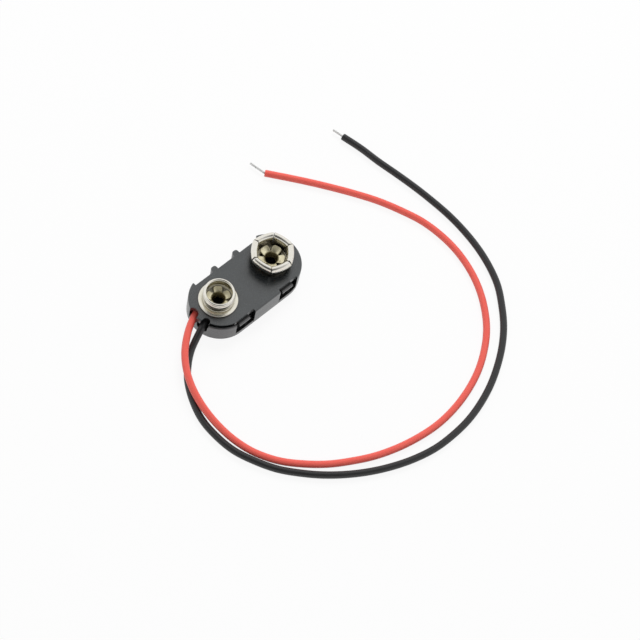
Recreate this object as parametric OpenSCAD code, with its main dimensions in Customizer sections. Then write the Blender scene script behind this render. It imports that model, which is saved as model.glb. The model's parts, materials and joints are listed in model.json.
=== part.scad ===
// Snap connector for a nine volt block battery: a housing of two mouldings that snap
// together, a stud and a socket terminal riveted to its top plate, and two loose leads.
// Millimetres. The origin is the middle of the housing's underside, +X runs from the stud
// to the socket, +Y to the ribbed side and +Z up towards the battery.

/* [Housing] */
// Length over the two round ends
housing_len = 23.3; // [22.5:0.1:26]
// Width across the long sides
housing_w = 11.6; // [11.2:0.1:13]
// Height from the underside to the terminal plate's top
housing_h = 4.2; // [4:0.1:5.5]
// Thickness of the plate that carries the terminals
plate_t = 1; // [0.8:0.05:1.1]
// Thickness of the side walls
wall_t = 0.9; // [0.7:0.05:1]
// Radius of the plate's top edge
edge_r = 0.25; // [0.1:0.05:0.4]
// Thickness of the back cover's floor
cover_t = 0.8; // [0.6:0.05:1]
// Clearance between the two mouldings
fit_gap = 0.1; // [0.05:0.01:0.15]

/* [Latch side] */
// Distance between the middles of the two latch notches
notch_pitch = 10.3; // [9:0.1:11]
// Width of a latch notch
notch_w = 4.3; // [3.6:0.1:4.8]
// How far the two notches sit towards the socket
notch_shift = 0.25; // [0:0.05:0.4]
// Depth of a latch notch
notch_d = 0.7; // [0.5:0.05:0.9]
// Thickness of the catch bar at the back of a notch
bar_t = 0.6; // [0.4:0.05:0.8]
// Height of the window above a catch bar
window_h = 0.75; // [0.6:0.05:0.9]
// Width of a latch
latch_w = 2.5; // [1.8:0.1:3]
// How far a latch sits from its notch's middle towards the stud
latch_shift = 0.15; // [0:0.05:0.5]
// Thickness of a latch's stem
latch_t = 0.6; // [0.4:0.05:0.9]
// How far a latch's head stands out over its catch bar
latch_reach = 0.6; // [0.3:0.05:0.7]
// Lead-in chamfer on a latch's head
latch_chamfer = 0.2; // [0.1:0.05:0.3]
// Height of the cover's rim below a catch bar
rim_h = 0.9; // [0.6:0.05:1.1]

/* [Ribbed side] */
// Depth of the pockets between the ribs
pocket_d = 0.95; // [0.7:0.05:1]
// Length of the pocketed stretch between the two shoulders
pocket_len = 15; // [12:0.1:16]
// Distance between the two ribs
rib_pitch = 5.1; // [4:0.05:6]
// Width of a rib
rib_w = 1.2; // [0.6:0.05:1.3]
// How far the two ribs sit towards the stud
rib_shift = 0.2; // [0:0.05:0.4]
// Radius of the shoulders' corners at the ends of the pockets
shoulder_r = 0.3; // [0.1:0.05:0.4]
// Width of the cover's tongues under the outer pockets
tongue_w = 3; // [2:0.1:3.4]
// How far a tongue stands out under its pocket
tongue_reach = 0.5; // [0.3:0.05:0.8]

/* [Wire end] */
// Place of the red lead's slot across the housing
red_slot_y = 1.05; // [1:0.05:1.4]
// Place of the black lead's slot across the housing
black_slot_y = -1.35; // [-1.6:0.05:-1.25]
// Width of a lead slot
slot_w = 2.1; // [1.9:0.05:2.2]
// Depth of the red lead's notch in the terminal plate
red_notch_d = 1.1; // [1:0.05:1.4]
// Depth of the black lead's notch in the terminal plate
black_notch_d = 1.5; // [1.2:0.05:1.7]
// Width of the black lead's notch in the terminal plate
black_notch_w = 1.4; // [1.2:0.05:1.9]
// Height of the leads' middle line where they leave
lead_z = 2.2; // [2:0.05:2.4]
// Width of the shell's post between the wire end and the first notch
post_w = 0.8; // [0.6:0.05:1.2]
// Thickness of the cover's lip around the plate's edge
lip_t = 0.3; // [0.25:0.05:0.4]
// Width of the shadow groove between the plate and the lip
groove_w = 0.2; // [0.05:0.05:0.25]
// Drop of the lip below the plate's top
lip_drop = 0.5; // [0.2:0.05:0.7]
// Thickness of the cover's wall where it laps over the shell's post
lap_t = 0.45; // [0.4:0.05:0.6]

/* [Terminals] */
// Distance between the two terminals
pitch = 12.7; // [12.2:0.1:13.2]
// Distance of the terminals from the housing's middle line
terminal_y = 0.2; // [0:0.05:0.4]
// Thickness of the terminals' sheet metal
sheet_t = 0.3; // [0.2:0.05:0.4]

/* [Stud] */
// Radius of the stud's flange
stud_flange_r = 3.57; // [3.3:0.01:4]
// Radius of the stud's neck
neck_r = 2.6; // [2.5:0.05:2.7]
// Radius of the stud's head
stud_r = 2.88; // [2.8:0.01:2.95]
// Radius of the stud's open mouth
mouth_r = 2.3; // [2.25:0.01:2.4]
// Height of the stud above the plate
stud_h = 2.9; // [2.6:0.05:3.3]
// Height of the head above the neck
head_h = 1.5; // [1.2:0.05:1.7]
// Height of the head's round top above its straight band
crown_h = 0.75; // [0.6:0.05:0.9]
// Diameter of the bead around the mouth
rim_d = 0.4; // [0.3:0.05:0.5]

/* [Socket] */
// Number of spring leaves
leaves = 6; // [5:1:8]
// Distance from the socket's middle to a leaf's inner face
leaf_in = 2.65; // [2.6:0.01:2.9]
// Distance from the socket's middle to a leaf's outer edge
leaf_out = 3.86; // [3.7:0.01:4.1]
// Thickness of a leaf
leaf_t = 0.25; // [0.2:0.01:0.3]
// Height of the socket above the plate
socket_h = 3.2; // [2.8:0.05:3.4]
// How far a leaf's rolled lip turns back down
lip_turn = 0.5; // [0.1:0.05:0.7]
// How far a leaf leans in from its root to its lip
leaf_lean = 0.2; // [0.05:0.05:0.3]
// How far behind the socket's middle a leaf is curved from
leaf_back = 4; // [0:0.1:5]
// Width of the slits between the leaves
slit_w = 0.15; // [0.1:0.01:0.3]
// Height of the closed ring below the slits
ring_h = 0.8; // [0.5:0.05:1.2]
// Direction of the first slit
slit_turn = 43.8; // [0:0.1:60]

/* [Rivets] */
// Radius of the hole through a rivet
rivet_hole_r = 1.1; // [0.9:0.05:1.15]
// Wall of a rivet's shank
rivet_t = 0.2; // [0.15:0.01:0.25]
// Clearance around a rivet's shank
rivet_gap = 0.05; // [0.02:0.01:0.1]
// Radius of a rivet's flange under the plate
rivet_flange_r = 2.4; // [2.2:0.05:2.6]
// Thickness of a rivet's flange
rivet_flange_t = 0.25; // [0.2:0.05:0.3]
// Inner radius of the petals' bend
petal_bend = 0.3; // [0.2:0.05:0.4]
// Rise of the petals above the plate, in degrees
petal_lean = 22; // [10:1:35]
// Radius over the petals' ends in the stud
stud_petal_out = 2.2; // [2:0.01:2.25]
// Radius over the petals' ends in the socket
socket_petal_out = 2.45; // [2.1:0.01:2.5]
// Number of petals that a rivet is split into
petals = 5; // [4:1:6]
// Width of the split between two petals at their ends
split_w = 1; // [0.6:0.05:1.2]
// How far the splits run down into the shank
split_drop = 0.1; // [0.05:0.05:0.2]
// Direction of a petal in the stud
stud_petal_turn = 53; // [0:1:71]
// Direction of a petal in the socket
socket_petal_turn = 17; // [0:1:71]

/* [Leads] */
// Diameter over a lead's insulation
lead_d = 1.3; // [1.1:0.05:1.4]
// Diameter of the tinned conductor
wire_d = 0.45; // [0.3:0.05:0.6]
// Length of the red lead's bare end
red_bare = 3.3; // [2:0.1:6]
// Length of the black lead's bare end
black_bare = 2.2; // [2:0.1:6]
// Radius of a solder bead
bead_r = 0.8; // [0.7:0.05:0.9]

/* [Hidden] */
$fn = 64;
// Overshoot of a cut past the face that it leaves through
past = 1;

// Housing outline: two end arcs and the straight stretch between their middles
end_r = housing_w / 2;
half_len = housing_len / 2 - end_r;
plate_z = housing_h - plate_t;
bar_y = end_r - notch_d;
bar_in = bar_y - bar_t;
bar_top = plate_z - window_h;
notch_x = notch_pitch / 2;
pocket_y = end_r - pocket_d;
pocket_in = pocket_y - wall_t;
tongue_x = (pocket_len / 2 + rib_pitch / 2 + rib_w / 2) / 2;
// The cover's lip ends at the first notch, and its full wall at the post behind that notch's end
lip_end = notch_shift - notch_x - notch_w / 2;
wire_x = lip_end - post_w;
wire_y = red_slot_y + slot_w / 2;
groove_y = black_slot_y - slot_w / 2;
lip_top = housing_h - lip_drop;
groove_out = end_r - lip_t;
groove_in = groove_out - groove_w;

// Terminals and rivets
stud_at = [-pitch / 2, terminal_y, housing_h];
socket_at = [pitch / 2, terminal_y, housing_h];
rim_r = rim_d / 2;
root_in = leaf_in + leaf_lean;
lip_r = (leaf_out - leaf_in) / 2;
// Angle that a leaf is swept through before its sides are cut
leaf_sweep = 120;
shank_r = rivet_hole_r + rivet_t;
rivet_bore_r = shank_r + rivet_gap;
flange_z = -plate_t - rivet_flange_t;
// Radius about which a petal's bend turns, and the bend's own middle radius
bend_r = shank_r + petal_bend;
bend_mid = petal_bend + rivet_t / 2;
// Straight steps that a petal's round stretches are made of
arc_steps = 8;
// How far a split's point lies inside the hole, so that the splits part the petals
split_past = 0.05;
split_in = rivet_hole_r - split_past;
bead_out = (rivet_hole_r + rivet_flange_r) / 2;
bead_drop = 0.35;
red_bead_turn = 150;
black_bead_turn = 200;

// Middle lines of the leads, from the solder joint to the end of the insulation
red_route = [
    [2.6, 2, 2.2], [0.2, 3, 2.2], [-3.2, 3.2, 2.2], [-6.6, 2.7, 2.2], [-9.2, 1.75, 2.2],
    [-11.5, 0.85, 2.2], [-14.1, -0.7, 2.15], [-16.9, -3.1, 2.1], [-19.1, -6.1, 2.1], [-20.6, -9.5, 2.05],
    [-21.4, -13.3, 1.75], [-21.5, -17.2, 1.25], [-21, -21.1, 0.85], [-19.8, -24.9, 0.65], [-17.7, -28.6, 0.65],
    [-14.8, -31.8, 0.65], [-11.5, -34.6, 0.65], [-7.8, -36.9, 0.65], [-4, -38.8, 0.65], [0.1, -40.2, 0.65],
    [4.3, -41.1, 0.65], [8.6, -41.5, 0.65], [12.9, -41.2, 0.65], [17.1, -40.3, 0.65], [21.2, -38.8, 0.65],
    [24.9, -36.7, 0.65], [28.3, -34, 0.65], [31.1, -30.7, 0.65], [33.3, -27, 0.65], [34.8, -23, 0.65],
    [35.6, -18.7, 0.65], [35.6, -14.4, 0.65], [34.9, -10.2, 0.65], [33.4, -6.1, 0.65], [31.6, -2.2, 0.65],
    [29.4, 1.5, 0.65], [27, 5.1, 0.65], [24.5, 8.6, 0.65], [21.9, 12, 0.65], [19.2, 15.4, 0.65]];
black_route = [
    [-9.4, -0.9, 2.2], [-11.2, -1.4, 2.2], [-13.2, -2.15, 1.5], [-15.4, -3.2, 0.8], [-17.6, -4.9, 0.65],
    [-19.7, -7.2, 0.65], [-21.5, -10.5, 0.65], [-22.7, -14.3, 0.65], [-22.9, -18.2, 0.65], [-22.4, -22.1, 0.65],
    [-21, -25.8, 0.65], [-19, -29.5, 0.65], [-16.4, -32.7, 0.65], [-13.5, -35.6, 0.65], [-10.2, -38.2, 0.65],
    [-6.7, -40.4, 0.65], [-3, -42.2, 0.65], [0.9, -43.6, 0.65], [5, -44.5, 0.65], [9.1, -44.7, 0.65],
    [13.3, -44.4, 0.65], [17.3, -43.5, 0.65], [21.2, -42.1, 0.65], [24.9, -40.2, 0.65], [28.4, -37.9, 0.65],
    [31.5, -35.2, 0.65], [34.2, -32, 0.65], [36.5, -28.6, 0.65], [38.1, -24.7, 0.65], [39.1, -20.7, 0.65],
    [39.6, -16.6, 0.65], [39.7, -12.5, 0.65], [39.4, -8.3, 0.65], [38.9, -4.2, 0.65], [38.2, -0.1, 0.65],
    [37.4, 4, 0.65], [36.8, 8.1, 0.65], [35.9, 12.1, 0.65]];
// Directions of the two bare ends
red_aim = unit([-0.2, 1, 0]);
black_aim = unit([-0.2, 1, 0]);
lead_sides = 8;

function unit(v) = v / norm(v);
// Middle of the latch notch on side s along the housing
function notch_at(s) = s * notch_x + notch_shift;
// Where the catch bar on side s ends, just past its latch
function bar_end(s) = notch_at(s) - latch_shift + latch_w / 2 + fit_gap;
// Direction of a route at point i, with the last point looking along aim
function heading(route, i, aim) =
    i == 0 ? unit(route[1] - route[0]) :
    i == len(route) - 1 ? aim :
    unit(route[i + 1] - route[i - 1]);
// One ring of a tube: lead_sides points around p, square to direction d
function ring(p, d, r) =
    let (side = unit(cross(d, [0, 0, 1])), up = cross(side, d))
    [for (k = [0:lead_sides - 1])
        let (a = (k + 0.5) * 360 / lead_sides)
        p + r * (cos(a) * side + sin(a) * up)];

// Closed tube of radius r along a route
module tube(route, r, aim) {
    n = len(route);
    s = lead_sides;
    points = [for (i = [0:n - 1]) each ring(route[i], heading(route, i, aim), r)];
    sides = [for (i = [0:n - 2], k = [0:s - 1])
        let (a = i * s + k, b = i * s + (k + 1) % s)
        each [[a, b, b + s], [a, b + s, a + s]]];
    caps = [[for (k = [s - 1:-1:0]) k], [for (k = [0:s - 1]) (n - 1) * s + k]];
    polyhedron(points, concat(sides, caps));
}

// Round bar of diameter d from p along a direction
module bar(p, direction, d, length)
    translate(p)
        rotate([0, acos(direction.z), atan2(direction.y, direction.x)])
            cylinder(d = d, h = length);

// Plan outline of the housing with end arcs of radius r
module outline(r) {
    for (s = [-1, 1]) translate([s * half_len, 0]) circle(r);
    translate([-half_len, -r]) square([2 * half_len, 2 * r]);
}

// Sweeps a half section (x outwards, y up) once around the housing's middle line
module around() {
    for (s = [-1, 1])
        translate([s * half_len, 0, 0]) rotate([0, 0, -90 * s]) rotate_extrude(angle = 180) children();
    for (turn = [0, 180])
        rotate([0, 0, turn]) translate([-half_len, 0, 0])
            rotate([90, 0, 90]) linear_extrude(2 * half_len) children();
}

// Plan outline of the inside, g smaller than the walls leave
module inside(g) {
    difference() {
        outline(end_r - wall_t - g);
        translate([-pocket_len / 2 - wall_t - g, pocket_in - g])
            square([pocket_len + 2 * (wall_t + g), pocket_d + wall_t + g]);
        for (s = [-1, 1])
            translate([notch_at(s) - notch_w / 2 - bar_t - g, -end_r])
                square([notch_w + 2 * (bar_t + g), end_r - bar_in + g]);
    }
}

// Plan field in which the cover has its own outer wall, g smaller on its inner sides
module wire_field(g)
    translate([-housing_len, -housing_w])
        square([housing_len + wire_x - g, housing_w + wire_y - g]);

// Plan field of the lip, up to the line x and g short of the black lead's slot
module lip_field(x, g = 0)
    translate([-housing_len, -housing_w])
        square([housing_len + x, housing_w + groove_y - g]);

// Plan of a wall t thick along the housing's outline
module rim_plan(t)
    difference() {
        outline(end_r);
        outline(end_r - t);
    }

// Block of the housing's outline, h high, with its top edge rounded
module blank(h)
    around() {
        square([end_r - edge_r, h]);
        square([end_r, h - edge_r]);
        translate([end_r - edge_r, h - edge_r]) circle(edge_r);
    }

// Sweeps a section (x outwards, y up) along the latch side, w long from x
module latch_side(x, w)
    translate([x, 0, 0]) rotate([90, 0, 90]) linear_extrude(w) mirror([1, 0]) children();

// Block across a latch notch, between two distances from the middle line
module notch_block(s, inner, outer, low, high, side = 0)
    translate([notch_at(s) - notch_w / 2 + side, -outer, low])
        cube([notch_w - 2 * side, outer - inner, high - low]);

// Plan of the two pockets' ribs, with round noses
module rib_plan()
    for (s = [-1, 1]) translate([s * rib_pitch / 2 - rib_shift, 0]) {
        translate([-rib_w / 2, pocket_in]) square([rib_w, end_r - rib_w / 2 - pocket_in]);
        translate([0, end_r - rib_w / 2]) circle(d = rib_w);
    }

// Plan of the pockets, with the shoulders' corners at their ends rounded
module pocket_plan() {
    difference() {
        translate([-pocket_len / 2, pocket_y]) square([pocket_len, pocket_d + past]);
        rib_plan();
    }
    shoulder_y = sqrt(end_r * end_r - (pocket_len / 2 - half_len) ^ 2) - shoulder_r;
    for (s = [0, 1]) mirror([s, 0]) difference() {
        translate([pocket_len / 2, shoulder_y]) square([shoulder_r, shoulder_r + past]);
        translate([pocket_len / 2 + shoulder_r, shoulder_y]) circle(shoulder_r);
    }
}

// Upright U slot for a lead at y
module lead_slot(y, high) {
    translate([-housing_len, y - slot_w / 2, lead_z])
        cube([housing_len + wire_x, slot_w, high - lead_z]);
    translate([-housing_len, y, lead_z]) rotate([0, 90, 0])
        cylinder(d = slot_w, h = housing_len + wire_x);
}

// Round-ended notch w wide and d deep in the plate's edge, with one side at y
module plate_notch(y, w, d) {
    x = -housing_len / 2 + d - w / 2;
    translate([x, y + w / 2]) circle(d = w);
    translate([x - d - past, y]) square([d + past, w]);
}

// Top moulding: the terminal plate and its skirt
module terminal_plate() {
    color("#4a4b4d")
    difference() {
        blank(housing_h);
        translate([0, 0, -past]) linear_extrude(plate_z + past) inside(0);
        translate([0, 0, -past]) linear_extrude(housing_h + 2 * past) pocket_plan();
        // slots for the cover's tongues
        for (s = [-1, 1])
            translate([s * tongue_x - tongue_w / 2 - fit_gap, pocket_in - past, -past])
                cube([tongue_w + 2 * fit_gap, wall_t + pocket_d + 2 * past, past + cover_t + fit_gap]);
        // latch notches, the windows over their catch bars, the room for the cover's rim and the gap beside a latch
        for (s = [-1, 1]) {
            notch_block(s, bar_y, end_r + past, -past, housing_h + past);
            notch_block(s, bar_in - past, end_r, bar_top, plate_z);
            notch_block(s, bar_in - past, end_r, -past, rim_h + fit_gap);
            translate([bar_end(s), -end_r, -past])
                cube([notch_at(s) + notch_w / 2 - bar_end(s), end_r - bar_in + past, past + plate_z]);
        }
        // wire end: the cover's wall stands in for the skirt and laps over the post, and its lip goes round the plate
        translate([0, 0, -past]) linear_extrude(plate_z + past) {
            wire_field(0);
            difference() {
                lip_field(lip_end);
                outline(end_r - lap_t - fit_gap);
            }
        }
        translate([0, 0, plate_z - past]) linear_extrude(plate_t + 2 * past) {
            difference() {
                lip_field(lip_end);
                outline(groove_in);
            }
            plate_notch(red_slot_y - slot_w / 2, slot_w, red_notch_d);
            plate_notch(groove_y, black_notch_w, black_notch_d);
        }
        for (at = [stud_at, socket_at]) translate([at.x, at.y, 0]) cylinder(r = rivet_bore_r, h = housing_h + past);
    }
}

// Latch of the cover, seen from its end: x outwards from the stem's inner face, y up
module latch_section() {
    out = latch_t + fit_gap + bar_t + latch_reach;
    head_low = bar_top + fit_gap;
    head_high = plate_z - fit_gap;
    polygon([[0, 0], [latch_t, 0], [latch_t, head_low], [out, head_low], [out, head_high - latch_chamfer],
        [out - latch_chamfer, head_high], [0, head_high]]);
}

// Bottom moulding: the floor, the wall at the wire end, two latches and two tongues
module back_cover() {
    latch_in = bar_in - fit_gap - latch_t;
    color("#45464a")
    difference() {
        union() {
            linear_extrude(cover_t) inside(fit_gap);
            // floor and wall at the wire end
            intersection() {
                linear_extrude(cover_t) wire_field(fit_gap);
                linear_extrude(cover_t) outline(end_r);
            }
            linear_extrude(plate_z - fit_gap) intersection() {
                wire_field(fit_gap);
                rim_plan(wall_t);
            }
            // lap over the post, lip around the plate's edge and the lap's foot beside the first rim
            linear_extrude(plate_z - fit_gap) intersection() {
                lip_field(lip_end, fit_gap);
                rim_plan(lap_t);
            }
            intersection() {
                blank(lip_top);
                linear_extrude(lip_top) intersection() {
                    lip_field(lip_end, fit_gap);
                    rim_plan(lip_t);
                }
            }
            linear_extrude(rim_h) intersection() {
                lip_field(lip_end + 2 * fit_gap, fit_gap);
                rim_plan(lap_t);
            }
            // rims and latches
            intersection() {
                for (s = [-1, 1]) notch_block(s, latch_in, end_r + past, 0, rim_h, fit_gap);
                linear_extrude(rim_h) outline(end_r);
            }
            for (s = [-1, 1])
                latch_side(notch_at(s) - latch_shift - latch_w / 2, latch_w)
                    translate([latch_in, 0]) latch_section();
            // tongues under the outer pockets
            for (s = [-1, 1])
                translate([s * tongue_x - tongue_w / 2, pocket_in - fit_gap - wall_t, 0])
                    cube([tongue_w, 2 * wall_t + fit_gap + tongue_reach, cover_t]);
        }
        lead_slot(red_slot_y, housing_h);
        lead_slot(black_slot_y, housing_h);
    }
}

// Small terminal: a drawn stud with a flange, a neck and a rounded head with a beaded mouth
module stud_terminal() {
    neck_in = neck_r - sheet_t;
    head_in = stud_r - sheet_t;
    head_z = stud_h - head_h;
    band_z = stud_h - crown_h;
    shoulder = stud_r - neck_r;
    bead_at = mouth_r + rim_r;
    round_r = stud_r - bead_at;
    color("#d8d6cf")
    translate(stud_at) rotate_extrude() {
        translate([rivet_bore_r, 0]) square([stud_flange_r - sheet_t / 2 - rivet_bore_r, sheet_t]);
        translate([stud_flange_r - sheet_t / 2, sheet_t / 2]) circle(d = sheet_t);
        polygon([[neck_in, sheet_t / 2], [neck_r, sheet_t / 2], [neck_r, head_z - shoulder], [stud_r, head_z],
            [stud_r, band_z], [head_in, band_z], [head_in, head_z], [neck_in, head_z - shoulder]]);
        // round top and the bead on it
        intersection() {
            translate([bead_at, band_z]) circle(round_r);
            translate([bead_at, band_z]) square(round_r);
        }
        translate([bead_at - rim_r / 2, band_z]) square([rim_r, crown_h - rim_r]);
        translate([bead_at, stud_h - rim_r]) circle(rim_r);
    }
}

// Section of one spring leaf: a wall that leans in and rolls over outwards into a lip
module leaf_section() {
    roll_z = socket_h - lip_r;
    polygon([[root_in, 0], [root_in + leaf_t, 0], [leaf_in + leaf_t, roll_z], [leaf_in, roll_z]]);
    intersection() {
        translate([leaf_in + lip_r, roll_z]) difference() {
            circle(lip_r);
            circle(lip_r - leaf_t);
        }
        translate([leaf_in, roll_z]) square([2 * lip_r, lip_r]);
    }
    translate([leaf_out - leaf_t, roll_z - lip_turn]) square([leaf_t, lip_turn]);
}

// Large terminal: a crown of rolled spring leaves on a ring and a floor
module socket_terminal() {
    half = 180 / leaves;
    reach = 2 * leaf_out;
    apex = slit_w / 2 / sin(half);
    color("#d8d6cf")
    translate(socket_at) {
        difference() {
            cylinder(r = root_in + leaf_t, h = ring_h);
            translate([0, 0, sheet_t]) cylinder(r = root_in, h = ring_h);
            translate([0, 0, -past]) cylinder(r = rivet_bore_r, h = sheet_t + 2 * past);
        }
        for (k = [0:leaves - 1])
            rotate([0, 0, slit_turn + (2 * k + 1) * half])
                intersection() {
                    translate([-leaf_back, 0, 0]) rotate([0, 0, -leaf_sweep / 2])
                        rotate_extrude(angle = leaf_sweep) translate([leaf_back, 0]) leaf_section();
                    linear_extrude(socket_h + past)
                        polygon([[apex, 0], [apex + reach * cos(half), -reach * sin(half)],
                            [apex + reach * cos(half), reach * sin(half)]]);
                }
    }
}

// Points on a round stretch of radius r about c, from angle a to angle b
function arc(c, r, a, b) =
    [for (i = [0:arc_steps])
        let (t = a + (b - a) * i / arc_steps)
        c + r * [cos(t), sin(t)]];

// Section of a rivet: the flange, the shank, and a petal that bends out of it and rises to a round end at out
module rivet_section(out) {
    bend = [bend_r, sheet_t];
    turned = 90 + petal_lean;
    petal_len = (out - rivet_t / 2 - bend_r + bend_mid * sin(petal_lean)) / cos(petal_lean);
    tip = bend + bend_mid * [cos(turned), sin(turned)] + petal_len * [cos(petal_lean), sin(petal_lean)];
    polygon(concat(
        [[rivet_hole_r, flange_z], [rivet_flange_r, flange_z], [rivet_flange_r, -plate_t], [shank_r, -plate_t]],
        arc(bend, petal_bend, 180, turned),
        arc(tip, rivet_t / 2, turned + 180, turned + 360),
        arc(bend, petal_bend + rivet_t, turned, 180)));
}

// Plan of the split between two petals, a V that opens outwards from the hole
module split_plan(out) {
    reach = 2 * out;
    open = split_w / 2 * (reach - split_in) / (out - split_in);
    polygon([[split_in, 0], [reach, -open], [reach, open]]);
}

// Hollow rivet whose end is split and spread into petals over a terminal's floor
module rivet(at, turn, out) {
    translate(at) difference() {
        rotate_extrude() rivet_section(out);
        for (k = [0:petals - 1])
            rotate([0, 0, turn + (k + 0.5) * 360 / petals])
                translate([0, 0, sheet_t - split_drop]) linear_extrude(2 * out) split_plan(out);
    }
}

module stud_rivet() { color("#c9c3ae") rivet(stud_at, stud_petal_turn, stud_petal_out); }
module socket_rivet() { color("#c9c3ae") rivet(socket_at, socket_petal_turn, socket_petal_out); }

// Solder bead under a rivet's flange, with the tinned conductor that it holds
module solder_joint(at, turn, route) {
    bead = at + [bead_out * cos(turn), bead_out * sin(turn), flange_z - bead_drop];
    flange_low = at.z + flange_z;
    intend = norm([bead.x - route[0].x, bead.y - route[0].y]);
    intersection() {
        translate(bead) sphere(bead_r);
        translate([bead.x - bead_r, bead.y - bead_r, flange_low - 2 * bead_r])
            cube(2 * bead_r);
    }
    bar(route[0], unit(route[0] - route[1]), wire_d, intend);
}

module red_solder_joint() { color("#b9bab8") solder_joint(socket_at, red_bead_turn, red_route); }
module black_solder_joint() { color("#b9bab8") solder_joint(stud_at, black_bead_turn, black_route); }

// Leads and their bare ends
module red_lead() { color("#d8281f") tube(red_route, lead_d / 2, red_aim); }
module black_lead() { color("#2a2a2c") tube(black_route, lead_d / 2, black_aim); }
module red_tinned_end() { color("#c4c4c2") bar(red_route[len(red_route) - 1], red_aim, wire_d, red_bare); }
module black_tinned_end() { color("#c4c4c2") bar(black_route[len(black_route) - 1], black_aim, wire_d, black_bare); }

terminal_plate();
back_cover();
stud_terminal();
socket_terminal();
stud_rivet();
socket_rivet();
red_lead();
black_lead();
red_tinned_end();
black_tinned_end();
red_solder_joint();
black_solder_joint();
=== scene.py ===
import json
import math

import bmesh
import bpy
from mathutils import Matrix, Vector


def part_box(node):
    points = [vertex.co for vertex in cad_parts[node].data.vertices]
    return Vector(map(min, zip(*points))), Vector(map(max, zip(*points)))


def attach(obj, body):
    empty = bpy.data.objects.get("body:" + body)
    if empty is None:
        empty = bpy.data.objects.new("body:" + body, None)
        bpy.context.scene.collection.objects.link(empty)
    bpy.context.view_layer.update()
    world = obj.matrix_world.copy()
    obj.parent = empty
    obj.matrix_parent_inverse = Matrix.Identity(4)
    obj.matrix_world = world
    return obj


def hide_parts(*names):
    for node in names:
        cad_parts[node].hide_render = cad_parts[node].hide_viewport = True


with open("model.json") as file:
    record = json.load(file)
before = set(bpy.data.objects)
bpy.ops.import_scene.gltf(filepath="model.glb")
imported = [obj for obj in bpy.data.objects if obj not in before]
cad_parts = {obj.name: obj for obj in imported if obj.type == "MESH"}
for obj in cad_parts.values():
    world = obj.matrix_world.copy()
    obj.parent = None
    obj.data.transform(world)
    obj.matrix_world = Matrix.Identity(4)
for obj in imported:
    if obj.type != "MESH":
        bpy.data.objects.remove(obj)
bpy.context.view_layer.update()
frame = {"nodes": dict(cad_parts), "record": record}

MM = 0.001
cad_nodes = frame["nodes"]
mount_at = {mount["name"]: Vector(mount["pos_m"]) for mount in frame["record"]["mounts"]}
plate_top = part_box("terminal_plate")[1].z
stud_base = Vector((mount_at["stud"].x, mount_at["stud"].y, plate_top))
socket_base = Vector((mount_at["socket"].x, mount_at["socket"].y, plate_top))

# Camera: the photograph's view, worked out from the terminals' known pitch
VIEW_AZIMUTH = math.radians(-56.65)
VIEW_ELEVATION = math.radians(61.97)
VIEW_ROLL = math.radians(15.38)
VIEW_DISTANCE = 430 * MM
VIEW_TARGET = Vector((6.78, -13.02, 0)) * MM
LENS_MM = 135.55
SENSOR_MM = 36
TO_VIEWER = Vector((
    math.sin(VIEW_AZIMUTH) * math.cos(VIEW_ELEVATION),
    -math.cos(VIEW_AZIMUTH) * math.cos(VIEW_ELEVATION),
    math.sin(VIEW_ELEVATION)))


def make_camera():
    right = (-TO_VIEWER).cross(Vector((0, 0, 1))).normalized()
    up = right.cross(-TO_VIEWER)
    rolled_right = math.cos(VIEW_ROLL) * right + math.sin(VIEW_ROLL) * up
    rolled_up = math.cos(VIEW_ROLL) * up - math.sin(VIEW_ROLL) * right
    data = bpy.data.cameras.new("photo_camera")
    data.lens = LENS_MM
    data.sensor_width = SENSOR_MM
    camera = bpy.data.objects.new("photo_camera", data)
    bpy.context.scene.collection.objects.link(camera)
    turn = Matrix((rolled_right, rolled_up, TO_VIEWER)).transposed().to_4x4()
    camera.matrix_world = Matrix.Translation(VIEW_TARGET + TO_VIEWER * VIEW_DISTANCE) @ turn
    bpy.context.scene.camera = camera


make_camera()


# Node trees: short ways to place nodes and link them
def socket_named(sockets, name):
    by_identifier = [s for s in sockets if s.identifier == name]
    return (by_identifier or [s for s in sockets if s.name == name])[0]


def place(tree, kind, inputs=(), **settings):
    """Adds a node, with its settings, and gives each named input a value or a link."""
    made = tree.nodes.new(kind)
    for name, value in settings.items():
        setattr(made, name, value)
    for name, value in dict(inputs).items():
        target = socket_named(made.inputs, name)
        if isinstance(value, bpy.types.NodeSocket):
            tree.links.new(value, target)
        else:
            target.default_value = value
    return made


def result(made, name=0):
    return made.outputs[0] if name == 0 else socket_named(made.outputs, name)


def maths(tree, operation, a, b=0.0):
    return result(place(tree, "ShaderNodeMath", {"Value": a, "Value_001": b}, operation=operation))


def spread(tree, value, low, high, new_low, new_high):
    return result(place(tree, "ShaderNodeMapRange", {
        "Value": value, "From Min": low, "From Max": high, "To Min": new_low, "To Max": new_high}))


def colour_mix(tree, factor, first, second):
    made = place(tree, "ShaderNodeMix", {"Factor_Float": factor, "A_Color": first, "B_Color": second},
                 data_type="RGBA")
    return result(made, "Result_Color")


def new_group(name, kind, inputs, outputs):
    """Empty node group with named sockets, given as (name, socket type, default) rows."""
    tree = bpy.data.node_groups.new(name, kind)
    for label, socket, default in inputs:
        made = tree.interface.new_socket(label, in_out="INPUT", socket_type=socket)
        if default is not None:
            made.default_value = default
    for label, socket in outputs:
        tree.interface.new_socket(label, in_out="OUTPUT", socket_type=socket)
    return tree, tree.nodes.new("NodeGroupInput").outputs, tree.nodes.new("NodeGroupOutput").inputs


# Geometry node trees: a tube along a line, and copies of a shape in a ring
END_CHAMFER = 0.1 * MM
END_SCALE = 0.86
SOFT_EDGE_SHARE = 0.3


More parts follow.
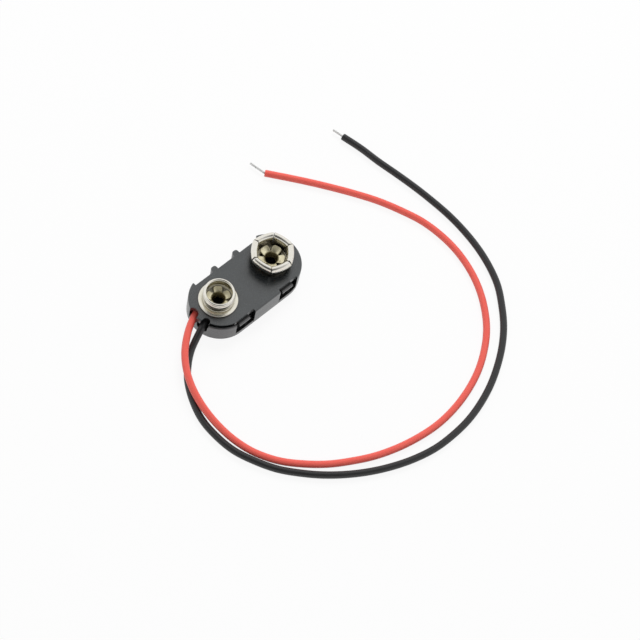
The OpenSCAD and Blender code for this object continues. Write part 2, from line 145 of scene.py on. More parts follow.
def make_tube_tree():
    tree, given, put = new_group("tube_along_line", "GeometryNodeTree", (
        ("Line", "NodeSocketGeometry", None), ("Radius", "NodeSocketFloat", 0.5 * MM),
        ("Sides", "NodeSocketInt", 16), ("Material", "NodeSocketMaterial", None)),
        (("Tube", "NodeSocketGeometry"),))
    along = place(tree, "GeometryNodeSplineParameter")
    whole = place(tree, "GeometryNodeSplineLength")
    rest = maths(tree, "SUBTRACT", whole.outputs["Length"], along.outputs["Length"])
    nearest = maths(tree, "MINIMUM", rest, along.outputs["Length"])
    scale = spread(tree, nearest, 0, END_CHAMFER, END_SCALE, 1)
    line = place(tree, "GeometryNodeStoreNamedAttribute", {
        "Geometry": given["Line"], "Name": "along", "Value": along.outputs["Length"]})
    circle = place(tree, "GeometryNodeCurvePrimitiveCircle", {
        "Resolution": given["Sides"], "Radius": given["Radius"]})
    section = place(tree, "GeometryNodeStoreNamedAttribute", {
        "Geometry": circle.outputs["Curve"], "Name": "around",
        "Value": result(place(tree, "GeometryNodeInputPosition"))}, data_type="FLOAT_VECTOR")
    tube = place(tree, "GeometryNodeCurveToMesh", {
        "Curve": result(line), "Profile Curve": result(section), "Scale": scale, "Fill Caps": True})
    real = place(tree, "GeometryNodeRealizeInstances", {"Geometry": result(tube)})
    done = place(tree, "GeometryNodeSetMaterial", {"Geometry": result(real), "Material": given["Material"]})
    tree.links.new(result(done), put["Tube"])
    return tree


def make_ring_tree():
    tree, given, put = new_group("ring_of_copies", "GeometryNodeTree", (
        ("Shape", "NodeSocketGeometry", None), ("Count", "NodeSocketInt", 6),
        ("First Turn", "NodeSocketFloat", 0.0),
        ("Lean Spread", "NodeSocketFloat", 0.0), ("Twist Spread", "NodeSocketFloat", 0.0),
        ("Seed", "NodeSocketInt", 1), ("Material", "NodeSocketMaterial", None)),
        (("Ring", "NodeSocketGeometry"),))
    index = result(place(tree, "GeometryNodeInputIndex"))
    step = maths(tree, "DIVIDE", math.tau, given["Count"])
    turn = maths(tree, "ADD", maths(tree, "MULTIPLY", index, step), given["First Turn"])

    def uneven(limit, seed):
        made = place(tree, "FunctionNodeRandomValue", {
            "Min_001": maths(tree, "MULTIPLY", limit, -1), "Max_001": limit, "ID": index, "Seed": seed})
        return socket_named(made.outputs, "Value_001")

    twist = uneven(given["Twist Spread"], given["Seed"])
    lean = uneven(given["Lean Spread"], maths(tree, "ADD", given["Seed"], 1))
    angles = place(tree, "ShaderNodeCombineXYZ", {"X": twist, "Y": lean, "Z": turn})
    points = place(tree, "GeometryNodePoints", {"Count": given["Count"]})
    copies = place(tree, "GeometryNodeInstanceOnPoints", {
        "Points": result(points), "Instance": given["Shape"], "Rotation": result(angles)})
    real = place(tree, "GeometryNodeRealizeInstances", {"Geometry": result(copies)})
    done = place(tree, "GeometryNodeSetMaterial", {"Geometry": result(real), "Material": given["Material"]})
    tree.links.new(result(done), put["Ring"])
    return tree


tube_tree = make_tube_tree()
ring_tree = make_ring_tree()


def made_by(tree, source, values, sheet=None):
    """Plain mesh of what a tree makes from a mesh or curve.

    Where sheet is given, the mesh first gets a wall of that thickness with soft edges."""
    holder = bpy.data.objects.new("source", source)
    bpy.context.scene.collection.objects.link(holder)
    if sheet:
        wall = holder.modifiers.new("wall", "SOLIDIFY")
        wall.thickness = sheet
        wall.offset = 0
        soft = holder.modifiers.new("soft_edges", "BEVEL")
        soft.width = sheet * SOFT_EDGE_SHARE
        soft.segments = 2
        soft.limit_method = "ANGLE"
    nodes = holder.modifiers.new("nodes", "NODES")
    nodes.node_group = tree
    for item in tree.interface.items_tree:
        if item.in_out == "INPUT" and item.name in values:
            nodes[item.identifier] = values[item.name]
    bpy.context.view_layer.update()
    evaluated = holder.evaluated_get(bpy.context.evaluated_depsgraph_get())
    mesh = bpy.data.meshes.new_from_object(evaluated)
    bpy.data.objects.remove(holder)
    return mesh


# Shader groups that several finishes share
def make_grain_group():
    """Fine grain of a moulded or plated surface, in grains of a given size."""
    tree, given, put = new_group("surface_grain", "ShaderNodeTree", (
        ("Size", "NodeSocketFloat", 0.1 * MM), ("Detail", "NodeSocketFloat", 3.0)),
        (("Mask", "NodeSocketFloat"), ("Height", "NodeSocketFloat")))
    at = place(tree, "ShaderNodeTexCoord").outputs["Object"]
    scale = maths(tree, "DIVIDE", 1.0, given["Size"])
    noise = place(tree, "ShaderNodeTexNoise", {
        "Vector": at, "Scale": scale, "Detail": given["Detail"], "Roughness": 0.55})
    mask = spread(tree, noise.outputs["Fac"], 0.3, 0.7, 0, 1)
    tree.links.new(mask, put["Mask"])
    tree.links.new(noise.outputs["Fac"], put["Height"])
    return tree


def make_edge_group():
    """Where a surface has worn edges and shaded hollows, and its normal with soft edges."""
    tree, given, put = new_group("edges_and_hollows", "ShaderNodeTree", (
        ("Edge Radius", "NodeSocketFloat", 0.1 * MM), ("Hollow Depth", "NodeSocketFloat", 1 * MM)),
        (("Edge", "NodeSocketFloat"), ("Hollow", "NodeSocketFloat"), ("Normal", "NodeSocketVector")))
    soft = place(tree, "ShaderNodeBevel", {"Radius": given["Edge Radius"]}, samples=6)
    flat = place(tree, "ShaderNodeNewGeometry").outputs["Normal"]
    same = place(tree, "ShaderNodeVectorMath", {"Vector": result(soft), "Vector_001": flat},
                 operation="DOT_PRODUCT")
    shade = place(tree, "ShaderNodeAmbientOcclusion", {"Distance": given["Hollow Depth"]}, samples=8)
    tree.links.new(spread(tree, same.outputs["Value"], 0.98, 0.75, 0, 1), put["Edge"])
    tree.links.new(spread(tree, shade.outputs["AO"], 1.0, 0.2, 0, 1), put["Hollow"])
    tree.links.new(result(soft), put["Normal"])
    return tree


def make_drawn_group():
    """Faint rings that drawing leaves around a terminal's axis, and the distance from that axis."""
    tree, given, put = new_group("drawn_rings", "ShaderNodeTree", (
        ("Centre", "NodeSocketVector", (0, 0, 0)), ("Pitch", "NodeSocketFloat", 0.06 * MM)),
        (("Mask", "NodeSocketFloat"), ("Height", "NodeSocketFloat"), ("Radius", "NodeSocketFloat")))
    at = place(tree, "ShaderNodeTexCoord").outputs["Object"]
    away = place(tree, "ShaderNodeVectorMath", {"Vector": at, "Vector_001": given["Centre"]},
                 operation="SUBTRACT")
    parts = place(tree, "ShaderNodeSeparateXYZ", {"Vector": result(away)})
    flat = place(tree, "ShaderNodeCombineXYZ", {"X": parts.outputs["X"], "Y": parts.outputs["Y"]})
    length = place(tree, "ShaderNodeVectorMath", {"Vector": result(flat)}, operation="LENGTH")
    radius = length.outputs["Value"]
    turn = maths(tree, "ARCTAN2", parts.outputs["Y"], parts.outputs["X"])
    rings = place(tree, "ShaderNodeCombineXYZ", {
        "X": maths(tree, "DIVIDE", radius, given["Pitch"]),
        "Y": maths(tree, "DIVIDE", parts.outputs["Z"], given["Pitch"]),
        "Z": maths(tree, "SINE", turn)})
    noise = place(tree, "ShaderNodeTexNoise", {"Vector": result(rings), "Scale": 1.0, "Detail": 2.0})
    tree.links.new(spread(tree, noise.outputs["Fac"], 0.3, 0.7, 0, 1), put["Mask"])
    tree.links.new(noise.outputs["Fac"], put["Height"])
    tree.links.new(radius, put["Radius"])
    return tree


def make_extruded_group():
    """Drawn-out flow marks along a lead's insulation."""
    tree, given, put = new_group("extruded_marks", "ShaderNodeTree", (
        ("Width", "NodeSocketFloat", 0.16 * MM), ("Length", "NodeSocketFloat", 3 * MM)),
        (("Mask", "NodeSocketFloat"), ("Height", "NodeSocketFloat")))
    along = place(tree, "ShaderNodeAttribute", attribute_name="along").outputs["Fac"]
    around = place(tree, "ShaderNodeAttribute", attribute_name="around").outputs["Vector"]
    parts = place(tree, "ShaderNodeSeparateXYZ", {"Vector": around})
    marks = place(tree, "ShaderNodeCombineXYZ", {
        "X": maths(tree, "DIVIDE", parts.outputs["X"], given["Width"]),
        "Y": maths(tree, "DIVIDE", parts.outputs["Y"], given["Width"]),
        "Z": maths(tree, "DIVIDE", along, given["Length"])})
    noise = place(tree, "ShaderNodeTexNoise", {"Vector": result(marks), "Scale": 1.0, "Detail": 3.0})
    tree.links.new(spread(tree, noise.outputs["Fac"], 0.3, 0.7, 0, 1), put["Mask"])
    tree.links.new(noise.outputs["Fac"], put["Height"])
    return tree


grain_group = make_grain_group()
edge_group = make_edge_group()
drawn_group = make_drawn_group()
extruded_group = make_extruded_group()


def use(tree, group, **values):
    inputs = {name.replace("_", " "): value for name, value in values.items()}
    return place(tree, "ShaderNodeGroup", inputs, node_tree=group)


def new_material(name):
    material = bpy.data.materials.new(name)
    material.use_nodes = True
    return material, material.node_tree, material.node_tree.nodes["Principled BSDF"]


def feed(tree, shader, **links):
    for name, value in links.items():
        target = shader.inputs[name.replace("_", " ")]
        if isinstance(value, bpy.types.NodeSocket):
            tree.links.new(value, target)
        else:
            target.default_value = value


def bumped(tree, height, depth, normal=None):
    inputs = {"Height": height, "Distance": depth, "Strength": 1.0}
    if normal is not None:
        inputs["Normal"] = normal
    return result(place(tree, "ShaderNodeBump", inputs))


# Finishes: colours, and where painted shade and film begin and end in a hollow
WORN_EDGE = (0.10, 0.10, 0.105, 1)
EDGE_SHARE = 0.2
DEEP_SHADE = (0.004, 0.004, 0.004, 1)
SHADE_SHARE = 0.9
SHADE_RANGE = (0.08, 0.42)
SHADE_GLOSS = 0.12
# Painted shade: a dark brown laid into tight corners, such as under the stud's head, for the shade and dark
# reflections there
CORNER_SHADE = (0.11, 0.09, 0.055, 1)
CORNER_SHADE_RANGE = (0.2, 0.5)
CORNER_SHADE_SHARE = 0.9
CUP_CORNER_SHADE_DELAY = 0.27
FILM_RANGE = (0.05, 0.35)
# Painted shade: a dark brown laid inside the rivets' bores, where the hole lies in shade
BORE_SHADE = (0.10, 0.075, 0.02, 1)
BORE_SHADE_SHARE = 0.9
BORE_R = 1.15 * MM
BORE_FADE = 0.25 * MM
CUP_FADE = 0.1 * MM
CLOUD_SHARE = 0.25
CLOUD_ROUGH = 0.06
# Share of painted shade: how far the metal's hollows are darkened towards the dull colour
HOLLOW_SHADE_SHARE = 0.5
PLASTIC_ROUGH = (0.24, 0.34)
PVC_ROUGH = (0.30, 0.40)
MARK_ROUGH = 0.06
TIN_ROUGH = (0.42, 0.56)


def moulded_plastic(name, deep, pale):
    """Satin plastic with paler edges and deep shade in its hollows."""
    material, tree, shader = new_material(name)
    edges = use(tree, edge_group, Edge_Radius=0.12 * MM, Hollow_Depth=1.8 * MM)
    hollow = spread(tree, edges.outputs["Hollow"], *SHADE_RANGE, 0, 1)
    grain = use(tree, grain_group, Size=0.09 * MM, Detail=4.0)
    flow = use(tree, grain_group, Size=2.4 * MM, Detail=3.0)
    body = colour_mix(tree, flow.outputs["Mask"], deep, pale)
    worn = colour_mix(tree, maths(tree, "MULTIPLY", edges.outputs["Edge"], EDGE_SHARE), body, WORN_EDGE)
    shaded = colour_mix(tree, maths(tree, "MULTIPLY", hollow, SHADE_SHARE), worn, DEEP_SHADE)
    rough = maths(tree, "SUBTRACT", spread(tree, grain.outputs["Mask"], 0, 1, *PLASTIC_ROUGH),
                  maths(tree, "MULTIPLY", hollow, SHADE_GLOSS))
    feed(tree, shader, Base_Color=shaded, Roughness=rough, IOR=1.54, Specular_IOR_Level=1.0,
         Normal=bumped(tree, grain.outputs["Height"], 0.006 * MM, edges.outputs["Normal"]))
    return material


def plated_metal(name, centre, bright, dull, cup_r, rough_range):
    """Bright plate with painted shade in its hollows, darker painted shade in its corners and bore, and with
    a dull film in its hollows within the cup's radius.
    """
    material, tree, shader = new_material(name)
    edges = use(tree, edge_group, Edge_Radius=0.05 * MM, Hollow_Depth=2.2 * MM)
    corners = use(tree, edge_group, Edge_Radius=0.05 * MM, Hollow_Depth=0.9 * MM)
    rings = use(tree, drawn_group, Centre=centre, Pitch=0.07 * MM)
    cloud = use(tree, grain_group, Size=0.7 * MM, Detail=4.0)
    plated = colour_mix(tree, maths(tree, "MULTIPLY", cloud.outputs["Mask"], CLOUD_SHARE), bright, dull)
    # Painted shade: hollows darkened towards the dull colour
    shaded = colour_mix(tree, maths(tree, "MULTIPLY", edges.outputs["Hollow"], HOLLOW_SHADE_SHARE), plated, dull)
    inside = spread(tree, rings.outputs["Radius"], cup_r - CUP_FADE, cup_r, 1, 0)
    # Painted shade in tight corners, held back inside the cup
    open_corner = maths(tree, "SUBTRACT", corners.outputs["Hollow"],
                        maths(tree, "MULTIPLY", inside, CUP_CORNER_SHADE_DELAY))
    corner_shaded = colour_mix(tree, spread(tree, open_corner, *CORNER_SHADE_RANGE, 0, CORNER_SHADE_SHARE), shaded, CORNER_SHADE)
    # Painted shade inside the bore
    bore = spread(tree, rings.outputs["Radius"], BORE_R, BORE_R + BORE_FADE, 1, 0)
    bore_shaded = colour_mix(tree, maths(tree, "MULTIPLY", bore, BORE_SHADE_SHARE), corner_shaded, BORE_SHADE)
    rough = maths(tree, "ADD", spread(tree, rings.outputs["Mask"], 0, 1, *rough_range),
                  maths(tree, "MULTIPLY", cloud.outputs["Mask"], CLOUD_ROUGH))
    film = maths(tree, "MULTIPLY", inside, spread(tree, edges.outputs["Hollow"], *FILM_RANGE, 0, 1))
    feed(tree, shader, Base_Color=bore_shaded, Roughness=rough, Metallic=maths(tree, "SUBTRACT", 1.0, film),
         Normal=bumped(tree, rings.outputs["Height"], 0.0012 * MM, edges.outputs["Normal"]))
    return material


def pvc(name, deep, pale):
    """Soft insulation with faint marks along the lead."""
    material, tree, shader = new_material(name)
    marks = use(tree, extruded_group, Width=0.2 * MM, Length=2.5 * MM)
    grain = use(tree, grain_group, Size=0.08 * MM, Detail=3.0)
    body = colour_mix(tree, marks.outputs["Mask"], deep, pale)
    rough = maths(tree, "ADD", spread(tree, grain.outputs["Mask"], 0, 1, *PVC_ROUGH),
                  maths(tree, "MULTIPLY", marks.outputs["Mask"], MARK_ROUGH))
    fine = bumped(tree, grain.outputs["Height"], 0.002 * MM)
    feed(tree, shader, Base_Color=body, Roughness=rough, IOR=1.48,
         Normal=bumped(tree, marks.outputs["Height"], 0.006 * MM, fine))
    return material


def tinned_metal(name, bright, dull):
    """Soft grey metal with a fine grain, for tin and solder."""
    material, tree, shader = new_material(name)
    grain = use(tree, grain_group, Size=0.15 * MM, Detail=4.0)
    body = colour_mix(tree, grain.outputs["Mask"], bright, dull)
    feed(tree, shader, Base_Color=body, Metallic=1.0,
         Roughness=spread(tree, grain.outputs["Mask"], 0, 1, *TIN_ROUGH),
         Normal=bumped(tree, grain.outputs["Height"], 0.004 * MM))
    return material


shell_plastic = moulded_plastic(
    "shell_plastic", deep=(0.019, 0.023, 0.025, 1), pale=(0.026, 0.032, 0.034, 1))
cover_plastic = moulded_plastic(
    "cover_plastic", deep=(0.029, 0.028, 0.030, 1), pale=(0.038, 0.037, 0.039, 1))
NICKEL = (0.82, 0.80, 0.75, 1)
# Dull tones of the plating, which are also the colours of the painted shade in its hollows
NICKEL_DULL_AND_SHADE = (0.67, 0.62, 0.40, 1)
RIVET_NICKEL = (0.86, 0.80, 0.58, 1)
RIVET_DULL_AND_SHADE = (0.72, 0.65, 0.37, 1)
STUD_CUP_R = 2.45 * MM
NO_CUP = 0
ALL_IN_CUP = 4 * MM
STUD_ROUGH = (0.11, 0.18)
SOCKET_ROUGH = (0.19, 0.27)
RIVET_ROUGH = (0.15, 0.22)
stud_nickel = plated_metal("stud_nickel", stud_base, NICKEL, NICKEL_DULL_AND_SHADE, STUD_CUP_R, STUD_ROUGH)
socket_nickel = plated_metal("socket_nickel", socket_base, NICKEL, NICKEL_DULL_AND_SHADE, NO_CUP, SOCKET_ROUGH)
stud_rivet_nickel = plated_metal(
    "stud_rivet_nickel", stud_base, RIVET_NICKEL, RIVET_DULL_AND_SHADE, ALL_IN_CUP, RIVET_ROUGH)
socket_rivet_nickel = plated_metal(
    "socket_rivet_nickel", socket_base, RIVET_NICKEL, RIVET_DULL_AND_SHADE, ALL_IN_CUP, RIVET_ROUGH)
red_pvc = pvc("red_pvc", deep=(0.86, 0.11, 0.085, 1), pale=(0.90, 0.145, 0.11, 1))
black_pvc = pvc("black_pvc", deep=(0.018, 0.018, 0.019, 1), pale=(0.026, 0.026, 0.027, 1))
tinned = tinned_metal("tinned_wire", bright=(0.93, 0.93, 0.92, 1), dull=(0.82, 0.82, 0.81, 1))
solder = tinned_metal("solder", bright=(0.72, 0.72, 0.71, 1), dull=(0.55, 0.55, 0.54, 1))


# Pieces
SHARP_ANGLE = math.radians(38)


def seated(name, mesh, slot, *nodes):
    """Finished piece on the part's one body, in place of the CAD nodes that it stands for."""
    piece = bpy.data.objects.new(name, mesh)
    bpy.context.scene.collection.objects.link(piece)
    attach(piece, "root")
    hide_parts(*nodes)
    return piece


def joined(name, meshes, material, base=Matrix()):
    """One mesh of several closed shapes, set at base, with smooth faces and outward normals."""
    shape = bmesh.new()
    for mesh in meshes:
        shape.from_mesh(mesh)
    bmesh.ops.recalc_face_normals(shape, faces=shape.faces)
    for face in shape.faces:
        face.smooth = True
        face.material_index = 0
    whole = bpy.data.meshes.new(name)
    shape.to_mesh(whole)
    shape.free()
    whole.transform(base)
    whole.materials.clear()
    whole.materials.append(material)
    whole.set_sharp_from_angle(angle=SHARP_ANGLE)
    return whole


# Leads: middle lines in millimetres, from the solder joint to the end of the insulation
LEAD_DIAMETER = 1.3 * MM
LEAD_SIDES = 20
ROUTE_STEPS = 6
RED_ROUTE = [
    (2.6, 2, 2.2), (0.2, 3, 2.2), (-3.2, 3.2, 2.2), (-6.6, 2.7, 2.2), (-9.2, 1.75, 2.2),
    (-11.5, 0.85, 2.2), (-14.1, -0.7, 2.15), (-16.9, -3.1, 2.1), (-19.1, -6.1, 2.1), (-20.6, -9.5, 2.05),
    (-21.4, -13.3, 1.75), (-21.5, -17.2, 1.25), (-21, -21.1, 0.85), (-19.8, -24.9, 0.65),
    (-17.7, -28.6, 0.65), (-14.8, -31.8, 0.65), (-11.5, -34.6, 0.65), (-7.8, -36.9, 0.65),
    (-4, -38.8, 0.65), (0.1, -40.2, 0.65), (4.3, -41.1, 0.65), (8.6, -41.5, 0.65), (12.9, -41.2, 0.65),
    (17.1, -40.3, 0.65), (21.2, -38.8, 0.65), (24.9, -36.7, 0.65), (28.3, -34, 0.65), (31.1, -30.7, 0.65),
    (33.3, -27, 0.65), (34.8, -23, 0.65), (35.6, -18.7, 0.65), (35.6, -14.4, 0.65), (34.9, -10.2, 0.65),
    (33.4, -6.1, 0.65), (31.6, -2.2, 0.65), (29.4, 1.5, 0.65), (27, 5.1, 0.65), (24.5, 8.6, 0.65),
    (21.9, 12, 0.65), (19.2, 15.4, 0.65)]
BLACK_ROUTE = [
    (-9.4, -0.9, 2.2), (-11.2, -1.4, 2.2), (-13.2, -2.15, 1.5), (-15.4, -3.2, 0.8), (-17.6, -4.9, 0.65),
    (-19.7, -7.2, 0.65), (-21.5, -10.5, 0.65), (-22.7, -14.3, 0.65), (-22.9, -18.2, 0.65),
    (-22.4, -22.1, 0.65), (-21, -25.8, 0.65), (-19, -29.5, 0.65), (-16.4, -32.7, 0.65),
    (-13.5, -35.6, 0.65), (-10.2, -38.2, 0.65), (-6.7, -40.4, 0.65), (-3, -42.2, 0.65), (0.9, -43.6, 0.65),
    (5, -44.5, 0.65), (9.1, -44.7, 0.65), (13.3, -44.4, 0.65), (17.3, -43.5, 0.65), (21.2, -42.1, 0.65),
    (24.9, -40.2, 0.65), (28.4, -37.9, 0.65), (31.5, -35.2, 0.65), (34.2, -32, 0.65), (36.5, -28.6, 0.65),
    (38.1, -24.7, 0.65), (39.1, -20.7, 0.65), (39.6, -16.6, 0.65), (39.7, -12.5, 0.65), (39.4, -8.3, 0.65),
    (38.9, -4.2, 0.65), (38.2, -0.1, 0.65), (37.4, 4, 0.65), (36.8, 8.1, 0.65), (35.9, 12.1, 0.65)]


def smooth_line(route):
    """Points in metres on a smooth curve through a route's points, with the lead never below the floor."""
    places = [Vector(place_mm) * MM for place_mm in route]
    ends = [2 * places[0] - places[1]] + places + [2 * places[-1] - places[-2]]
    line = []
    for a, b, c, d in zip(ends, ends[1:], ends[2:], ends[3:]):
        for step in range(ROUTE_STEPS):
            t = step / ROUTE_STEPS
            line.append(0.5 * (2 * b + (c - a) * t + (2 * a - 5 * b + 4 * c - d) * t ** 2
                               + (3 * b - a - 3 * c + d) * t ** 3))
    line.append(places[-1])
    for at in line:
        at.z = max(at.z, LEAD_DIAMETER / 2)
    line.insert(1, line[0] + (line[1] - line[0]).normalized() * END_CHAMFER)
    line.insert(-1, line[-1] + (line[-2] - line[-1]).normalized() * END_CHAMFER)
    return line


def tube(line, radius, sides, material):
    data = bpy.data.curves.new("line", "CURVE")
    data.dimensions = "3D"
    spline = data.splines.new("POLY")
    spline.points.add(len(line) - 1)
    for point, at in zip(spline.points, line):
        point.co = (*at, 1)
    return made_by(tube_tree, data, {"Radius": radius, "Sides": sides, "Material": material})


def lead(name, route, material, slot, node):
    line = smooth_line(route)
    mesh = joined(name, [tube(line, LEAD_DIAMETER / 2, LEAD_SIDES, material)], material)
    return seated(name, mesh, slot, node), line


red_insulation, red_line = lead("red_insulation", RED_ROUTE, red_pvc, "red_insulation", "red_lead")
black_insulation, black_line = lead(
    "black_insulation", BLACK_ROUTE, black_pvc, "black_insulation", "black_lead")

# Tinned ends: six strands twisted around a middle one
STRAND_RADIUS = 0.075 * MM
STRAND_RING = 0.145 * MM
STRAND_TURN = math.radians(95)
STRAND_LAY = 2
STRAND_STEPS = 14
STRAND_SIDES = 8
STRAND_COUNT = 6
STRAND_LEAN = math.radians(0.6)


def strands(name, node, start, aim, length):
    def strand(ring):
        line = []
        for step in range(STRAND_STEPS + 1):
            share = step / STRAND_STEPS
            angle = STRAND_TURN * share * length / MM / STRAND_LAY
            line.append(Vector((ring * math.cos(angle), ring * math.sin(angle), length * share)))
        return tube(line, STRAND_RADIUS, STRAND_SIDES, tinned)

    outer = made_by(ring_tree, strand(STRAND_RING), {
        "Count": STRAND_COUNT, "Material": tinned, "Seed": 3, "Lean Spread": STRAND_LEAN})
    spot = Matrix.Translation(start) @ Vector(aim).to_track_quat("Z", "Y").to_matrix().to_4x4()
    mesh = joined(name, [outer, strand(0)], tinned, spot)
    return seated(name, mesh, "tinned_wire", node)


BARE_AIM = (-0.2, 1, 0)
RED_BARE = 3.3 * MM
BLACK_BARE = 2.2 * MM
red_strands = strands("red_strands", "red_tinned_end", red_line[-1], BARE_AIM, RED_BARE)
black_strands = strands("black_strands", "black_tinned_end", black_line[-1], BARE_AIM, BLACK_BARE)

# Terminals: sections in millimetres from the terminal's axis and above the plate
TURNED_FACETS = 128
SHEET = 0.3
RIVET_BORE = 1.35


def arc(x, z, radius, start, end, steps=8):
    """Points on a round stretch of a section, between two angles in degrees."""
    angles = [math.radians(start + (end - start) * i / steps) for i in range(steps + 1)]
    return [(x + radius * math.cos(a), z + radius * math.sin(a)) for a in angles]


def turned(section):
    """Mesh in metres of a closed section turned once around the axis."""
    count = len(section)
    places = []
    for k in range(TURNED_FACETS):
        angle = math.tau * k / TURNED_FACETS
        places += [Vector((r * math.cos(angle), r * math.sin(angle), z)) * MM for r, z in section]
    faces = []
    for k in range(TURNED_FACETS):
        here = k * count
        there = (k + 1) % TURNED_FACETS * count
        for i in range(count):
            j = (i + 1) % count
            faces.append((here + i, there + i, there + j, here + j))
    mesh = bpy.data.meshes.new("turned")
    mesh.from_pydata(places, [], faces)
    return mesh


def sheet_of(rows):
    """Mesh in metres of a grid of points in millimetres, one row after another."""
    across = len(rows[0])
    places = [Vector(point) * MM for row in rows for point in row]
    faces = []
    for i in range(len(rows) - 1):
        for j in range(across - 1):
            a = i * across + j
            faces.append((a, a + 1, a + across + 1, a + across))
    mesh = bpy.data.meshes.new("sheet")
    mesh.from_pydata(places, [], faces)
    for face in mesh.polygons:
        face.use_smooth = True
    return mesh


# Stud: flange, neck, rounded head and a bead around its mouth
FLANGE_R = 3.57
NECK_R = 2.6
HEAD_R = 2.88
MOUTH_R = 2.3
STUD_H = 2.9
HEAD_H = 1.5
CROWN_H = 0.75
BEAD_R = 0.25
FILLET_R = 0.18


def stud_section():
    edge = SHEET / 2
    head_z = STUD_H - HEAD_H
    band_z = STUD_H - CROWN_H
    flare = HEAD_R - NECK_R
    bead = (MOUTH_R + BEAD_R, STUD_H - BEAD_R)
    cap_r = HEAD_R - bead[0]
    outside = [(RIVET_BORE, 0)]
    outside += arc(FLANGE_R - edge, edge, edge, -90, 90)
    outside += arc(NECK_R + FILLET_R, SHEET + FILLET_R, FILLET_R, 270, 180, 6)
    outside += arc(NECK_R + flare, head_z - flare, flare, 180, 90, 6)[:4]
    outside += arc(HEAD_R - flare, head_z + flare / 2, flare, -40, 0, 4)
    outside += arc(bead[0], band_z, cap_r, 0, 58, 7)
    outside += arc(bead[0], bead[1], BEAD_R, -50, 215, 16)
    inside = [(HEAD_R - SHEET, band_z), (HEAD_R - SHEET, head_z + 0.1), (NECK_R - SHEET, head_z - flare)]
    inside += arc(NECK_R - SHEET - FILLET_R, SHEET + FILLET_R, FILLET_R, 0, -90, 6)
    return outside + inside + [(RIVET_BORE, SHEET)]


# Socket: six sprung leaves that roll over outwards, on a shallow cup
LEAVES = 6
FIRST_SLIT = math.radians(43.8)
LEAF_IN = 2.65
LEAF_OUT = 3.86
LEAF_T = 0.25
LEAF_LEAN = 0.2
LEAF_BACK = 4
SLIT_W = 0.13
ROOT_SLIT = 0.25
LEAF_UNEVEN_LEAN = math.radians(0.9)
LEAF_UNEVEN_TWIST = math.radians(0.7)
SOCKET_H = 3.2
LIP_TURN = 0.5
RING_H = 0.8
LEAF_ACROSS = 17
LEAF_STEPS = 8
LEAF_ROOT_Z = 0.25
FOOT_R = 0.15


def leaf_rows():
    """Middle sheet of a leaf: up from the cup, in towards the stud, and over outwards in a lip."""
    half_t = LEAF_T / 2
    lip_r = (LEAF_OUT - LEAF_IN) / 2
    roll_z = SOCKET_H - lip_r
    root = LEAF_IN + LEAF_LEAN + half_t
    top = LEAF_IN + half_t
    path = []
    for i in range(LEAF_STEPS):
        path.append((root + (top - root) * i / LEAF_STEPS,
                     LEAF_ROOT_Z + (roll_z - LEAF_ROOT_Z) * i / LEAF_STEPS))
    path += arc(LEAF_IN + lip_r, roll_z, lip_r - half_t, 180, 0, 16)
    path += [(LEAF_OUT - half_t, roll_z - LIP_TURN * i / 3) for i in range(1, 4)]
    wedge = math.pi / LEAVES
    rows = []
    for i, (r, z) in enumerate(path):
        slit = SLIT_W * min(1, ROOT_SLIT + (1 - ROOT_SLIT) * i / LEAF_STEPS)
        apex = slit / 2 / math.sin(wedge)
        reach = LEAF_BACK + r
        half = wedge - math.asin((LEAF_BACK + apex) * math.sin(wedge) / reach)
        angles = [half * (2 * j / (LEAF_ACROSS - 1) - 1) for j in range(LEAF_ACROSS)]
        rows.append([(reach * math.cos(a) - LEAF_BACK, reach * math.sin(a), z) for a in angles])
    return rows


def cup_section():
    outer = LEAF_IN + LEAF_LEAN + LEAF_T
    inner = LEAF_IN + LEAF_LEAN
    foot = arc(outer - FOOT_R, FOOT_R, FOOT_R, -90, 0, 4)
    floor = arc(inner - FILLET_R, SHEET + FILLET_R, FILLET_R, 0, -90, 6)
    return [(RIVET_BORE, 0)] + foot + [(outer, RING_H), (inner, RING_H)] + floor + [(RIVET_BORE, SHEET)]


# Rivets: a flange and shank, and petals that bend out over the terminal's floor
HOLE_R = 1.1
RIVET_T = 0.2
RIVET_FLANGE_R = 2.4
RIVET_FLANGE_T = 0.25
RIM_R = 0.08
PLATE_T = 1
PETALS = 5
PETAL_BEND = 0.3
PETAL_LEAN = 22
STUD_PETAL_OUT = 2.2
STUD_PETAL_END = 0.82
SOCKET_PETAL_OUT = 2.45
SOCKET_PETAL_END = 0.95
PETAL_HALF = 0.7
PETAL_ACROSS = 13
PETAL_STEPS = 8
PETAL_ROUND_FROM = 0.7
PETAL_ROUND_SPAN = 0.3
PETAL_ROUNDING = 0.62
PETAL_FLATTENING = 0.75
PETAL_RISE = 0.35


def shank_section():
    low = -PLATE_T - RIVET_FLANGE_T
    shank = HOLE_R + RIVET_T
    rim = arc(HOLE_R + RIM_R, low + RIM_R, RIM_R, 180, 270, 3)
    flange = [(RIVET_FLANGE_R, low), (RIVET_FLANGE_R, -PLATE_T)]
    return rim + flange + [(shank, -PLATE_T), (shank, SHEET), (HOLE_R, SHEET)]


